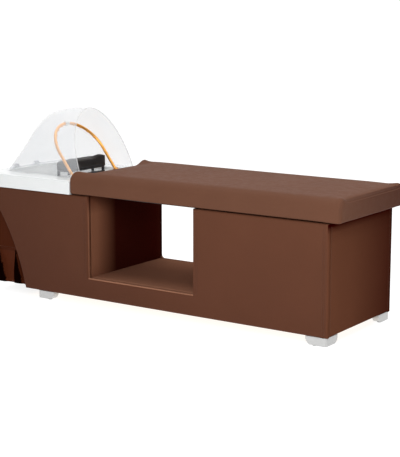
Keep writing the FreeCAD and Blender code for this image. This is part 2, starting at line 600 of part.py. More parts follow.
# ---- mixer tap and water supply --------------------------------------------------------------
def make_tap():
    def at(z):
        return (TAP_X, TAP_Y, z)
    body = fuse([rod(TAP_R + 5, at(RIM_TOP), at(RIM_TOP + 4)), rod(TAP_R, at(RIM_TOP + 4), at(TAP_TOP)),
                 rod(TAP_R - 4, at(DECK - 42), at(RIM_TOP))])
    face = TAP_Y - TAP_R - 3
    collar = rod(OUTLET_R + 3, (TAP_X, TAP_Y, OUTLET_Z), (TAP_X, face, OUTLET_Z))
    outlet = rod(OUTLET_R, (TAP_X, face, OUTLET_Z), (TAP_X, face - OUTLET_LEN, OUTLET_Z))
    body = fuse([body, collar, outlet])
    for name, (x, y) in zip(("supply_tube_hot", "supply_tube_cold"), SUPPLY_PLACES):
        body = body.cut(rod(SUPPLY_R, (x, y, DECK - 43), (x, y, SUPPLY_TOP)))
        top, turn = (x, y, SUPPLY_TOP), (x, y, SUPPLY_TURN)
        low = (SUPPLY_X, SUPPLY_Y + SUPPLY_SPREAD * (y - TAP_Y), SUPPLY_TURN - 60)
        end = low[:2] + (NIPPLE_TOP,)
        pipe = [rod(SUPPLY_R, top, turn), Part.makeSphere(SUPPLY_R, V(*turn)), rod(SUPPLY_R, turn, low),
                Part.makeSphere(SUPPLY_R, V(*low)), rod(SUPPLY_R, low, end)]
        nut = rod(NIPPLE_R + 3, end, end[:2] + (NIPPLE_TOP + 12,))
        nipple = rod(NIPPLE_R, end, end[:2] + (NIPPLE_TOP - NIPPLE_LEN,))
        save(name, fuse(pipe + [nut, nipple]))
    save("mixer_body", body)
    under = DECK - BASIN_WALL
    save("mixer_nut", ring(TAP_R + 4, TAP_R - 4 + HOLE_GAP, at(under - 10), at(under)))
    cap = rod(TAP_R - 0.5, at(TAP_TOP + 0.3), at(CAP_TOP))
    cap = cap.makeFillet(3, [cap.Edges[0]]) if cap.Edges[0].BoundBox.ZMin > CAP_TOP - 1 else cap
    ears = []
    for side in (-1, 1):
        y0, y1 = sorted((TAP_Y + side * 5.3, TAP_Y + side * 10))
        ear = fuse([box(TAP_X - 6, TAP_X + 6, y0, y1, CAP_TOP - 2, LEVER_Z),
                    rod(6, (TAP_X, y0, LEVER_Z), (TAP_X, y1, LEVER_Z))])
        ears.append(ear)
    bore = rod(PIN_R + RUN_GAP, (TAP_X, TAP_Y - 12, LEVER_Z), (TAP_X, TAP_Y + 12, LEVER_Z))
    save("mixer_cap", fuse([cap] + ears).cut(bore))
    root = rod(6, (TAP_X, TAP_Y - 5, LEVER_Z), (TAP_X, TAP_Y + 5, LEVER_Z))
    pin = rod(PIN_R, (TAP_X, TAP_Y - 9.5, LEVER_Z), (TAP_X, TAP_Y + 9.5, LEVER_Z))
    blade = box(TAP_X - 2.5, TAP_X + 2.5, TAP_Y - 5, TAP_Y + 5, LEVER_Z, LEVER_Z + 52)
    grip = rod(7, (TAP_X, TAP_Y, LEVER_Z + 40), (TAP_X, TAP_Y, LEVER_Z + 58))
    save("mixer_lever", fuse([root, pin, blade, grip]))
    route = [(TAP_X + TAP_R - 4, TAP_Y, FEED_Z), (RING_X - 60, TAP_Y, FEED_Z), (RING_X, -FEED_Y, FEED_Z),
             (RING_X, FEED_Y, FEED_Z), (RING_X, FEED_Y, DECK)]
    feed = [rod(SUPPLY_R, a, b) for a, b in zip(route, route[1:])]
    feed += [Part.makeSphere(SUPPLY_R, V(*p)) for p in route[1:-1]]
    feed.append(rod(SUPPLY_R, route[2], (RING_X, -FEED_Y, DECK)))
    shank = rod(TAP_R - 4, at(DECK - 42), at(RIM_TOP))
    save("ring_feed_tube", fuse(feed).cut(shank))


make_base()
make_pad()
make_basin()
make_drain()
make_skirt()
make_water_ring()
make_neck_rest()
make_hood()
make_hinges()
make_tap()
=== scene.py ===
"""Looks of the shampoo backwash unit: leatherette, basin, hood, water ring and skirt, in metres."""
import bmesh
import bpy
import json
import math
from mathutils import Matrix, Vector, noise
from mathutils.bvhtree import BVHTree


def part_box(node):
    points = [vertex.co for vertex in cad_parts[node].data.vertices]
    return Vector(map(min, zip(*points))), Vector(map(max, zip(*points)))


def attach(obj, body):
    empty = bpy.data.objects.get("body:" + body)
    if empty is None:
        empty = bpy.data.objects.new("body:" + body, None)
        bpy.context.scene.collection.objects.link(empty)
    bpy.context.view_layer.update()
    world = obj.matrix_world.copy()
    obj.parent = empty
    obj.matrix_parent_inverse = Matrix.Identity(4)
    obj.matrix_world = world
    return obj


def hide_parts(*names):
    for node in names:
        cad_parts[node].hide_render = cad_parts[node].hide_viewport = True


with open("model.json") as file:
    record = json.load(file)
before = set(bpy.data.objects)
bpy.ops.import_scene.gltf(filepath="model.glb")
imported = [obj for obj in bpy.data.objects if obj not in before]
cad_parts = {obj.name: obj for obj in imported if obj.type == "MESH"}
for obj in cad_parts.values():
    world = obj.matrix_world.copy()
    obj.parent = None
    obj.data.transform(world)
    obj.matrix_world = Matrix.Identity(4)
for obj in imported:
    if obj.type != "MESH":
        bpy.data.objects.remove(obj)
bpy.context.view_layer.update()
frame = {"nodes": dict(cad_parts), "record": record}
NODES = frame["nodes"]
MM = 0.001
STITCH_PITCH = 6.2 * MM


def mix(a, b, t):
    return a + (b - a) * t


def smooth(t):
    """An S-curve from 0 to 1."""
    t = min(max(t, 0.0), 1.0)
    return t * t * (3 - 2 * t)


def new_object(name, verts, faces, material, body="base", soft=True):
    mesh = bpy.data.meshes.new(name)
    mesh.from_pydata([tuple(v) for v in verts], [], faces)
    mesh.update()
    piece = bpy.data.objects.new(name, mesh)
    bpy.context.scene.collection.objects.link(piece)
    finish_piece(piece, material, body, soft)
    return piece


def finish_piece(piece, material, body, soft=True):
    piece.data.materials.clear()
    piece.data.materials.append(material)
    piece.data.polygons.foreach_set("use_smooth", [soft] * len(piece.data.polygons))
    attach(piece, body)


def modifier(piece, kind, **values):
    step = piece.modifiers.new(kind.lower(), kind)
    for key, value in values.items():
        setattr(step, key, value)
    return step


def evaluated_mesh(piece):
    """A plain mesh of the piece with its modifiers applied."""
    graph = bpy.context.evaluated_depsgraph_get()
    graph.update()
    return bpy.data.meshes.new_from_object(piece.evaluated_get(graph))


def tube_mesh(points, radius, sides=10, closed=False):
    """Vertices and faces of a round tube along points."""
    verts, faces = [], []
    count = len(points)
    up = Vector((0.13, 0.29, 0.95)).normalized()
    for i, point in enumerate(points):
        ahead = points[(i + 1) % count] if closed or i < count - 1 else point
        behind = points[i - 1] if closed or i > 0 else point
        along = (Vector(ahead) - Vector(behind)).normalized()
        side = along.cross(up)
        if side.length < 0.05:
            side = along.cross(Vector((1, 0, 0)))
        side.normalize()
        over = side.cross(along).normalized()
        for k in range(sides):
            turn = 2 * math.pi * k / sides
            verts.append(Vector(point) + (side * math.cos(turn) + over * math.sin(turn)) * radius)
    rings = count if closed else count - 1
    for i in range(rings):
        for k in range(sides):
            a, b = i * sides + k, i * sides + (k + 1) % sides
            c, d = ((i + 1) % count) * sides + (k + 1) % sides, ((i + 1) % count) * sides + k
            faces.append((a, b, c, d))
    if not closed:
        faces.append(tuple(reversed(range(sides))))
        faces.append(tuple(range(len(verts) - sides, len(verts))))
    return verts, faces


def spread(points, pitch):
    """Points at even steps along a line, with the line's direction at each."""
    steps, carry = [], pitch / 2
    for a, b in zip(points, points[1:]):
        a, b = Vector(a), Vector(b)
        length = (b - a).length
        if length < 1e-9:
            continue
        along = (b - a) / length
        while carry < length:
            steps.append((a + along * carry, along))
            carry += pitch
        carry -= length
    return steps


def stitches(name, lines, material, body="base", pitch=STITCH_PITCH, length=4.4 * MM, radius=0.55 * MM):
    """Rows of thread stitches. A line is (points, outward normal)."""
    verts, faces = [], []
    for points, normal in lines:
        normal = Vector(normal).normalized()
        for centre, along in spread(points, pitch):
            side = along.cross(normal).normalized()
            base = len(verts)
            for t, fat in ((-0.5, 0.35), (-0.3, 1.0), (0.3, 1.0), (0.5, 0.35)):
                for k in range(6):
                    turn = math.pi * k / 3
                    out = normal * (radius * fat * math.cos(turn)) + side * (radius * fat * math.sin(turn))
                    dip = normal * (-0.6 * radius if abs(t) > 0.4 else 0.25 * radius)
                    verts.append(centre + along * (t * length) + out + dip)
            for ring in range(3):
                for k in range(6):
                    a = base + ring * 6 + k
                    b = base + ring * 6 + (k + 1) % 6
                    faces.append((a, b, b + 6, a + 6))
    return new_object(name, verts, faces, material, body)


# ---- materials -------------------------------------------------------------------------------
class Shade:
    """A Principled material, with short ways to add nodes to it."""

    def __init__(self, name, colour, roughness, **values):
        self.material = bpy.data.materials.new(name)
        self.material.use_nodes = True
        self.tree = self.material.node_tree
        self.shader = self.tree.nodes["Principled BSDF"]
        self.shader.inputs["Base Color"].default_value = (*colour[:3], 1)
        self.shader.inputs["Roughness"].default_value = roughness
        for key, value in values.items():
            self.shader.inputs[key.replace("_", " ")].default_value = value
        self.where = self.add("ShaderNodeTexCoord").outputs["Object"]
        self.height = None

    def add(self, kind, inputs=None, **values):
        node = self.tree.nodes.new(kind)
        for key, value in values.items():
            setattr(node, key, value)
        for key, value in (inputs or {}).items():
            if isinstance(value, bpy.types.NodeSocket):
                self.tree.links.new(value, node.inputs[key])
            else:
                node.inputs[key].default_value = value
        return node

    def scaled(self, factors):
        return self.add("ShaderNodeMapping", {"Vector": self.where, "Scale": factors}).outputs[0]

    def noise(self, scale, detail=3.0, roughness=0.55, where=None):
        inputs = {"Vector": where or self.where, "Scale": scale, "Detail": detail, "Roughness": roughness}
        return self.add("ShaderNodeTexNoise", inputs).outputs["Fac"]

    def cells(self, scale, feature="F1", where=None):
        return self.add("ShaderNodeTexVoronoi", {"Vector": where or self.where, "Scale": scale},
                        feature=feature).outputs["Distance"]

    def ramp(self, value, stops):
        node = self.add("ShaderNodeValToRGB", {"Fac": value})
        bar = node.color_ramp
        while len(bar.elements) < len(stops):
            bar.elements.new(0.5)
        for element, (place, colour) in zip(bar.elements, stops):
            element.position = place
            element.color = (*colour, 1) if len(colour) == 3 else colour
        return node.outputs["Color"]

    def range(self, value, low, high, a, b):
        return self.add("ShaderNodeMapRange", {"Value": value, "From Min": low, "From Max": high,
                                               "To Min": a, "To Max": b}).outputs["Result"]

    def blend(self, factor, a, b, kind="MIX"):
        node = self.add("ShaderNodeMix", data_type="RGBA", blend_type=kind)
        for socket, value in zip((node.inputs[0], node.inputs[6], node.inputs[7]), (factor, a, b)):
            if isinstance(value, bpy.types.NodeSocket):
                self.tree.links.new(value, socket)
            elif isinstance(value, (int, float)):
                socket.default_value = value
            else:
                socket.default_value = (*value, 1)
        return node.outputs[2]

    def colour(self, value):
        self.tree.links.new(value, self.shader.inputs["Base Color"])

    def rough(self, value):
        self.tree.links.new(value, self.shader.inputs["Roughness"])

    def bump(self, value, strength, distance):
        inputs = {"Height": value, "Strength": strength, "Distance": distance}
        if self.height:
            inputs["Normal"] = self.height
        self.height = self.add("ShaderNodeBump", inputs).outputs["Normal"]
        self.tree.links.new(self.height, self.shader.inputs["Normal"])


def rgb(r, g, b):
    """An sRGB colour, 0 to 255, as linear numbers."""
    def line(c):
        c /= 255
        return c / 12.92 if c <= 0.04045 else ((c + 0.055) / 1.055) ** 2.4
    return (line(r), line(g), line(b))


def shift(colour, factor):
    return tuple(min(1.0, c * factor) for c in colour)


def leather(name, colour, wave=0.22, gloss=0.11, painted_shade=()):
    """Embossed leatherette: pebble grain, fine creases, slow waves and a slight colour drift.

    Each item of the last argument is painted shade: an axis, a low and a high place on it, and how far the
    colour is darkened towards a dark red between them.
    """
    shade = Shade(name, colour, 0.55, Specular_IOR_Level=gloss)
    drift = shade.noise(3.5, 3.0)
    tone_and_painted_shade = shade.ramp(drift, ((0.25, shift(colour, 0.95)), (0.55, colour), (0.8, shift(colour, 1.05))))
    # Painted shade: each ramp darkens the colour towards a dark red along its axis.
    for axis, low, high, stops in painted_shade:
        along = shade.add("ShaderNodeSeparateXYZ", {0: shade.where}).outputs[axis]
        stops = [(place, (dark,) * 3) for place, dark in stops]
        tone_and_painted_shade = shade.blend(shade.ramp(shade.range(along, low, high, 0.0, 1.0), stops), tone_and_painted_shade, PAINTED_SHADE_RED)
    bend = shade.noise(90.0, 2.0)
    warp = shade.add("ShaderNodeVectorMath", {0: shade.where, 1: (0, 0, 0)}, operation="ADD")
    shift_node = shade.add("ShaderNodeVectorMath", {0: (0.004, 0.004, 0.004)}, operation="SCALE")
    shade.tree.links.new(bend, shift_node.inputs["Scale"])
    shade.tree.links.new(shift_node.outputs[0], warp.inputs[1])
    grain = shade.cells(620.0, "DISTANCE_TO_EDGE", warp.outputs[0])
    pit = shade.range(grain, 0.0, 0.28, 0.0, 1.0)
    dark = shade.range(pit, 0.0, 0.6, 0.84, 1.0)
    shade.colour(shade.blend(1.0, tone_and_painted_shade, dark, "MULTIPLY"))
    shade.rough(shade.range(shade.noise(40.0, 4.0), 0.3, 0.7, 0.5, 0.62))
    shade.bump(shade.noise(5.0, 1.0), wave, 0.005)
    shade.bump(shade.noise(1500.0, 2.0), 0.12, 0.0002)
    shade.bump(pit, 0.35, 0.00035)
    return shade.material


def plastic(name, colour, roughness=0.3, texture=900.0, depth=0.00006, **values):
    """Moulded plastic: faint texture, drifting gloss and a trace of dulling."""
    shade = Shade(name, colour, roughness, **values)
    shade.colour(shade.ramp(shade.noise(9.0, 4.0), ((0.3, shift(colour, 0.955)), (0.7, colour))))
    shade.rough(shade.range(shade.noise(55.0, 5.0), 0.3, 0.7, roughness * 0.8, roughness * 1.25))
    shade.bump(shade.noise(texture, 2.0), 0.25, depth)
    return shade.material


def metal(name, colour, roughness, brushed=None, scale=220.0):
    """Metal with fine marks: brushed along an axis where that is given, or faint polishing swirls."""
    shade = Shade(name, colour, roughness, Metallic=1.0)
    where = shade.scaled(brushed) if brushed else shade.where
    marks = shade.noise(scale, 4.0, where=where)
    shade.colour(shade.ramp(shade.noise(18.0, 3.0), ((0.3, shift(colour, 0.88)), (0.7, colour))))
    shade.rough(shade.range(marks, 0.3, 0.7, roughness * 0.7, roughness * 1.5))
    shade.bump(marks, 0.08, 0.0001)
    return shade.material


def wood(name):
    shade = Shade(name, rgb(205, 172, 124), 0.62)
    along = shade.scaled((2.0, 30.0, 30.0))
    rings = shade.noise(3.0, 6.0, 0.65, along)
    stops = ((0.3, rgb(172, 134, 88)), (0.5, rgb(206, 172, 122)), (0.75, rgb(224, 196, 150)))
    shade.colour(shade.ramp(rings, stops))
    shade.rough(shade.range(rings, 0.3, 0.7, 0.5, 0.75))
    shade.bump(shade.noise(14.0, 5.0, 0.6, along), 0.3, 0.0004)
    return shade.material


def braid(name):
    """Woven steel hose cover."""
    shade = Shade(name, (0.55, 0.56, 0.58), 0.32, Metallic=1.0)
    strands = [shade.add("ShaderNodeTexWave", {"Vector": shade.scaled((1, 1, lean)), "Scale": 170.0},
                         bands_direction="DIAGONAL").outputs["Fac"] for lean in (1, -1)]
    woven = shade.blend(0.5, strands[0], strands[1], "MULTIPLY")
    shade.colour(shade.blend(woven, (0.22, 0.22, 0.23), (0.68, 0.69, 0.71)))
    shade.rough(shade.range(shade.noise(60.0), 0.3, 0.7, 0.22, 0.42))
    shade.bump(woven, 0.6, 0.0006)
    return shade.material


def hood_plastic(name):
    """Clear acrylic with a milky cast, faint haze and vertical drag marks."""
    shade = Shade(name, rgb(241, 243, 246), 0.2, Alpha=0.21, Specular_IOR_Level=0.2)
    haze = shade.noise(11.0, 5.0, 0.6, shade.scaled((1.0, 1.0, 0.35)))
    shade.colour(shade.ramp(haze, ((0.3, rgb(234, 237, 241)), (0.7, rgb(246, 247, 249)))))
    shade.rough(shade.range(shade.noise(30.0, 4.0), 0.3, 0.7, 0.07, 0.2))
    shade.bump(shade.noise(5.0, 2.0), 0.25, 0.004)
    return shade.material


PAD_BROWN = rgb(106, 71, 55)
# The dark red that painted shade darkens the leatherette towards.
PAINTED_SHADE_RED = rgb(46, 3, 2)
ACROSS = ("Y", -0.311, 0.311)
# Painted shade on the outside panels: darker towards the head end and towards the bottom.
FRONT_PAINTED_SHADE = (("X", -1.04, 0.3, ((0.0, 0.30), (0.45, 0.12), (1.0, 0.0))),
              ("Z", 0.04, 0.5, ((0.0, 0.12), (1.0, 0.0))))
# Painted shade inside the opening: the walls go dark red a little way in from the open side, and darker
# towards the top under the pad.
INSIDE_PAINTED_SHADE = ((*ACROSS, ((0.0, 0.0), (0.12, 0.02), (0.24, 0.45), (0.36, 0.95), (0.9, 0.97), (1.0, 0.93))),
                ("Z", 0.46, 0.552, ((0.0, 0.0), (1.0, 0.75))))
# Painted shade on the opening's sill, darker a little way in from its front edge.
SILL_PAINTED_SHADE = ((*ACROSS, ((0.0, 0.0), (0.05, 0.12), (0.1, 0.3), (0.3, 0.44), (0.6, 0.52), (1.0, 0.42))),)
# Painted shade on the foot end: darker towards the far side, with a painted shadow under the pad's overhang.
END_PAINTED_SHADE = ((*ACROSS, ((0.0, 0.0), (0.35, 0.16), (0.8, 0.6), (1.0, 0.8))),
             ("Z", 0.46, 0.552, ((0.0, 0.0), (0.5, 0.15), (0.74, 0.6), (0.86, 1.0))))
# Painted shade on the pad's foot end face, darker towards the far side.
PAD_END_PAINTED_SHADE = ((*ACROSS, ((0.0, 0.0), (0.15, 0.08), (0.5, 0.3), (1.0, 0.5))),)
SHADES = {
    # Outside panels: the leatherette with painted shade.
    "leatherette": leather("leatherette_base_painted_shade", rgb(98, 60, 43), 0.22, 0.06, FRONT_PAINTED_SHADE),
    # Opening walls: a lighter copy of the leatherette, a painted highlight at their front edges, with painted
    # shade deeper in.
    "leatherette_inside": leather("leatherette_inside", rgb(134, 88, 66), 0.2, 0.0, INSIDE_PAINTED_SHADE),
    # Opening sill: a still lighter copy, a painted highlight along its front edge, with painted shade further
    # in.
    "leatherette_sill_painted_light": leather("leatherette_sill_painted_light", rgb(164, 116, 92), 0.2, 0.0, SILL_PAINTED_SHADE),
    # Foot end: the copy with painted shade and the painted shadow under the pad.
    "leatherette_end": leather("leatherette_end", rgb(104, 64, 46), 0.2, 0.0, END_PAINTED_SHADE),
    # Painted shadow: a near-black copy for the recesses between the pleats.
    "pleat_shadow": leather("leatherette_pleat_painted_shadow", rgb(12, 2, 1), 0.1, 0.0),
    "pad_leatherette": leather("leatherette_pad", PAD_BROWN, 0.15, 0.02),
    # Pad's foot end face: the pad leather with painted shade.
    "pad_end_painted_shade": leather("leatherette_pad_end", PAD_BROWN, 0.15, 0.02, PAD_END_PAINTED_SHADE),
    "curtain_leatherette": leather("leatherette_curtain", rgb(80, 36, 18), 0.1, 0.03),
    "plywood": wood("birch_plywood"),
    "frame_steel": plastic("powder_coat_black", (0.018, 0.018, 0.02), 0.42, 1400.0, 0.0001),
    "foot_grey": plastic("foot_plastic", rgb(199, 199, 198), 0.4),
    "rubber_grey": plastic("glide_rubber", (0.14, 0.14, 0.145), 0.75, 2500.0, 0.0002),
    "rubber_black": plastic("black_rubber", (0.012, 0.012, 0.012), 0.7, 2500.0, 0.0002),
    "zinc": metal("zinc_plate", (0.62, 0.63, 0.64), 0.34),
    "basin_white": plastic("basin_gloss", rgb(232, 234, 234), 0.2, 160.0, 0.00005, Coat_Weight=0.2,
                           Coat_Roughness=0.05),
    "chrome": metal("chrome", (0.80, 0.81, 0.83), 0.08),
    "brass": metal("brass", (0.70, 0.50, 0.22), 0.28),
    "white_plastic": plastic("white_moulded", rgb(236, 236, 232), 0.38),
    "braided_steel": braid("braided_hose"),
    "copper": metal("copper_tube", rgb(255, 184, 96), 0.34),
    "rest_black": plastic("soft_black", rgb(36, 32, 31), 0.5, 1800.0, 0.0003, Specular_IOR_Level=0.14),
    "rest_frame": plastic("frame_grey", rgb(48, 48, 52), 0.4, Specular_IOR_Level=0.25),
    "hood_clear": hood_plastic("hood_acrylic"),
    "bead_clear": plastic("bead_clear", rgb(238, 238, 238), 0.3, Alpha=0.45),
    "trim_white": plastic("trim_white", rgb(244, 244, 243), 0.3),
    "apron_leatherette": leather("leatherette_apron", rgb(70, 30, 13), 0.2, 0.02),
    "thread": plastic("sewing_thread", rgb(92, 58, 43), 0.75, 3000.0, 0.0001),
    "piping": leather("leatherette_piping", rgb(110, 74, 58), 0.1, 0.03),
}


# ---- sizes read from the frame -----------------------------------------------------------------
SIDE_LOW, SIDE_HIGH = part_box("side_panel_front")
FLOOR_LOW, FLOOR_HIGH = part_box("opening_floor")
PAD_LOW, PAD_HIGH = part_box("pad_cushion")
END_LOW, END_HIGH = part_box("foot_end_panel")
APRON_LOW, APRON_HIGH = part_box("apron_front")
CURTAIN_LOW, CURTAIN_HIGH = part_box("curtain_front")
HEAD_LOW, HEAD_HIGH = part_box("curtain_head")
HOOD_LOW, HOOD_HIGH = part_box("hood_shell")
REST_LOW, REST_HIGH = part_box("neck_rest_pad")
GATE_X = (FLOOR_LOW.x, FLOOR_HIGH.x)
GATE_Z = FLOOR_HIGH.z
SEAM = 21 * MM            # from an upholstered edge to its seam
GROOVE = 1.1 * MM
EDGE_R = 10 * MM
GATE_CORNER_R = 18 * MM   # the opening's lower corner at the head end, on the back
THREAD_LIFT = 0.4 * MM
THREAD_GAP = 5 * MM       # from a seam to the thread on each side of it
THREAD_INSET = 12 * MM    # from a panel's end to the end of its thread


# ---- upholstered panels -------------------------------------------------------------------------
def panel_copy(node):
    """The node's mesh, welded and cleared of flat triangles."""
    shape = bmesh.new()
    shape.from_mesh(NODES[node].data)
    bmesh.ops.remove_doubles(shape, verts=shape.verts, dist=0.00002)
    bmesh.ops.dissolve_limit(shape, angle_limit=math.radians(0.4), verts=shape.verts, edges=shape.edges)
    return shape


def cut_plane(shape, axis, place):
    normal = Vector([float(i == axis) for i in range(3)])
    everything = shape.verts[:] + shape.edges[:] + shape.faces[:]
    bmesh.ops.bisect_plane(shape, geom=everything, dist=1e-6, plane_co=normal * place, plane_no=normal)


def groove(shape, axis, place, face_axis, face_place, depth, inside=None):
    """Sinks a V-shaped seam into one face, along a plane."""
    for step in (-GROOVE, 0.0, GROOVE):
        cut_plane(shape, axis, place + step)
    for vert in shape.verts:
        if abs(vert.co[axis] - place) < 1e-5 and abs(vert.co[face_axis] - face_place) < 1e-5:
            if inside is None or inside(vert.co):
                vert.co[face_axis] += depth


def bevel_edges(shape, keep, radius, segments=4):
    edges = [e for e in shape.edges if len(e.link_faces) == 2 and e.calc_face_angle(0) > 0.6 and keep(e)]
    if edges:
        bmesh.ops.bevel(shape, geom=edges, offset=radius, segments=segments, profile=0.5, affect="EDGES",
                        clamp_overlap=True)


def panel_piece(name, node, shape, material):
    mesh = bpy.data.meshes.new(name)
    shape.to_mesh(mesh)
    shape.free()
    piece = bpy.data.objects.new(name, mesh)
    bpy.context.scene.collection.objects.link(piece)
    finish_piece(piece, material, "base")
    mesh.set_sharp_from_angle(angle=math.radians(50))
    modifier(piece, "WEIGHTED_NORMAL", keep_sharp=True)
    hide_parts(node)
    return piece


def side_panel(name, node, side):
    """A long side: seams beside every upright edge, large soft corners outside, tight ones inside."""
    shape = panel_copy(node)
    outer = math.copysign(abs(SIDE_LOW.y), side)
    low = GATE_Z - SEAM
    inward = -side * GROOVE * 0.9
    groove(shape, 0, SIDE_HIGH.x - SEAM, 1, outer, inward)
    groove(shape, 0, GATE_X[0] - SEAM, 1, outer, inward, lambda co: co.z > low)
    groove(shape, 0, GATE_X[1] + SEAM, 1, outer, inward, lambda co: co.z > low)

    def at_gate_corner(edge):
        return all((v.co.xz - Vector((GATE_X[0], GATE_Z))).length < 1e-4 for v in edge.verts)

    def on_rim(edge):
        on_face = all(abs(v.co.y - outer) < 1e-5 for v in edge.verts)
        return on_face and not all(abs(f.normal.y) > 0.3 for f in edge.link_faces)
    if side > 0:
        bevel_edges(shape, at_gate_corner, GATE_CORNER_R, 6)
    bevel_edges(shape, on_rim, EDGE_R, 5)
    piece = panel_piece(name, node, shape, SHADES["leatherette"])
    # Faces in the opening take the lighter copies with painted highlight and painted shade; faces at the foot
    # end take the copy with painted shade.
    inside, sill, end = 1, 2, 3
    for slot in ("leatherette_inside", "leatherette_sill_painted_light", "leatherette_end"):
        piece.data.materials.append(SHADES[slot])
    for face in piece.data.polygons:
        spot, way = face.center, face.normal
        if GATE_X[0] - EDGE_R < spot.x < GATE_X[1] + EDGE_R and spot.z > GATE_Z - EDGE_R:
            if way.z > 0.55 and spot.z < GATE_Z + EDGE_R:
                face.material_index = sill
            elif abs(way.x) > 0.85:
                face.material_index = inside
        elif way.x > 0.5 and spot.x > SIDE_HIGH.x - EDGE_R:
            face.material_index = end


def side_stitches(side):
    """Two rows of thread by each upright seam."""
    y = side * (abs(SIDE_LOW.y) + THREAD_LIFT)
    top, bottom, above_sill = SIDE_HIGH.z - THREAD_INSET, SIDE_LOW.z + THREAD_INSET, GATE_Z + 2 * MM
    lines = []
    seams = (SIDE_HIGH.x - SEAM, bottom), (GATE_X[0] - SEAM, above_sill), (GATE_X[1] + SEAM, above_sill)
    for x, low in seams:
        for gap in (-THREAD_GAP, THREAD_GAP):
            lines.append(([(x + gap, y, low), (x + gap, y, top)], (0, side, 0)))
    return lines


for end, side in (("front", -1), ("back", 1)):
    side_panel("cover_side_" + end, "side_panel_" + end, side)
stitches("thread_sides", side_stitches(-1) + side_stitches(1), SHADES["thread"])


def foot_end():
    shape = panel_copy("foot_end_panel")
    outer = END_HIGH.x
    for side in (-1, 1):
        groove(shape, 1, side * (END_HIGH.y - 1.5 * MM), 0, outer, -GROOVE * 0.6)

    def level_on_face(edge):
        a, b = (v.co for v in edge.verts)
        return all(abs(co.x - outer) < 1e-5 for co in (a, b)) and abs(a.z - b.z) < 1e-5
    bevel_edges(shape, level_on_face, EDGE_R, 5)
    # The cover takes the copy with painted shade and a painted shadow under the pad.
    panel_piece("cover_foot_end", "foot_end_panel", shape, SHADES["leatherette_end"])


foot_end()
end_lines = []
for side in (-1, 1):
    y = side * (END_HIGH.y - 6 * MM)
    x = END_HIGH.x + THREAD_LIFT
    end_lines.append(([(x, y, END_LOW.z + THREAD_INSET), (x, y, END_HIGH.z - THREAD_INSET)], (1, 0, 0)))
stitches("thread_foot_end", end_lines, SHADES["thread"])


# ---- soft pads by cloth simulation --------------------------------------------------------------
def voxel_mesh(piece, size):
    step = modifier(piece, "REMESH", mode="VOXEL", voxel_size=size, adaptivity=0.0)
    mesh = evaluated_mesh(piece)
    piece.modifiers.remove(step)
    old = piece.data
    piece.data = mesh
    bpy.data.meshes.remove(old)


def inflate(piece, pressure, cap, frames=20, stiffness=18.0):
    """Swells a closed shell by cloth pressure, lets no point move further than the cap, and applies it."""
    start = [v.co.copy() for v in piece.data.vertices]
    cloth = modifier(piece, "CLOTH")
    cloth.settings.quality = 5
    cloth.settings.mass = 0.35
    cloth.settings.tension_stiffness = stiffness
    cloth.settings.compression_stiffness = stiffness
    cloth.settings.bending_stiffness = 1.2
    cloth.settings.use_pressure = True
    cloth.settings.uniform_pressure_force = pressure
    cloth.settings.effector_weights.gravity = 0
    cloth.collision_settings.use_collision = False
    cloth.point_cache.frame_start, cloth.point_cache.frame_end = 1, frames
    scene = bpy.context.scene
    for number in range(1, frames + 1):
        scene.frame_set(number)
    mesh = evaluated_mesh(piece)
    piece.modifiers.remove(cloth)
    for vert, before in zip(mesh.vertices, start):
        move = vert.co - before
        if move.length > cap:
            vert.co = before + move * (cap / move.length)
    old = piece.data
    piece.data = mesh
    bpy.data.meshes.remove(old)
    scene.frame_set(1)


def grid_box(name, counts, place):
    """A closed box of quads, each point passed through a shaping function of its box fractions."""
    index, verts, faces = {}, [], []

    def vert(i, j, k):
        key = (i, j, k)
        if key not in index:
            index[key] = len(verts)
            verts.append(place(i / counts[0], j / counts[1], k / counts[2]))
        return index[key]
    # Across is the axis a pair of sides faces along; a and b run over those sides.
    for a, b, across, flip_low in ((0, 1, 2, True), (0, 2, 1, False), (1, 2, 0, True)):
        for i in range(counts[a]):
            for j in range(counts[b]):
                for level, flip in ((0, flip_low), (counts[across], not flip_low)):
                    quad = []
                    for step_a, step_b in ((0, 0), (1, 0), (1, 1), (0, 1)):
                        key = [level] * 3
                        key[a], key[b] = i + step_a, j + step_b
                        quad.append(vert(*key))
                    faces.append(tuple(reversed(quad)) if flip else tuple(quad))
    mesh = bpy.data.meshes.new(name)
    mesh.from_pydata([tuple(v) for v in verts], [], faces)
    mesh.update()
    piece = bpy.data.objects.new(name, mesh)
    bpy.context.scene.collection.objects.link(piece)
    return piece


PAD_R = 52 * MM
PAD_END_R = 38 * MM
PAD_RISE = 4 * MM         # how far the filling pushes the top up
END_ROLL = 26 * MM
END_DROPS = (9 * MM, 20 * MM)   # how far the top rolls down at the head end and at the foot end
PAD_END = 60 * MM         # where the roll along the side gets tighter
PAD_SHRINK = 3 * MM
PEAK = 8 * MM             # how far the corners are pulled up by their seams
PEAK_REACH = 30 * MM
CORNER_PUSH = 4 * MM      # how far the head corners stand out before the filling pulls them in
SCOOP_LENGTH = 190 * MM
SCOOP_HALF = 225 * MM
SCOOP_DEPTH = 17 * MM


def end_gap(x):
    return min(x - PAD_LOW.x, PAD_HIGH.x - x)


def side_radius(x):
    """Radius of the roll along the pad's long edges: tighter towards both ends."""
    return mix(PAD_R, PAD_END_R, smooth(1 - end_gap(x) / PAD_END))


def dip(x, y):
    """How far the pad's top is scooped out at the head end."""
    near = smooth(1 - (x - PAD_LOW.x) / SCOOP_LENGTH)
    return SCOOP_DEPTH * near * smooth((1.22 - abs(y) / SCOOP_HALF) / 0.4)


def end_roll(x):
    """How far the top has rolled down near an end."""
    share = max(1 - (end_gap(x) - PAD_SHRINK) / END_ROLL, 0.0)
    return END_DROPS[x > 0] * (1 - math.sqrt(max(1 - share * share, 0.0)))


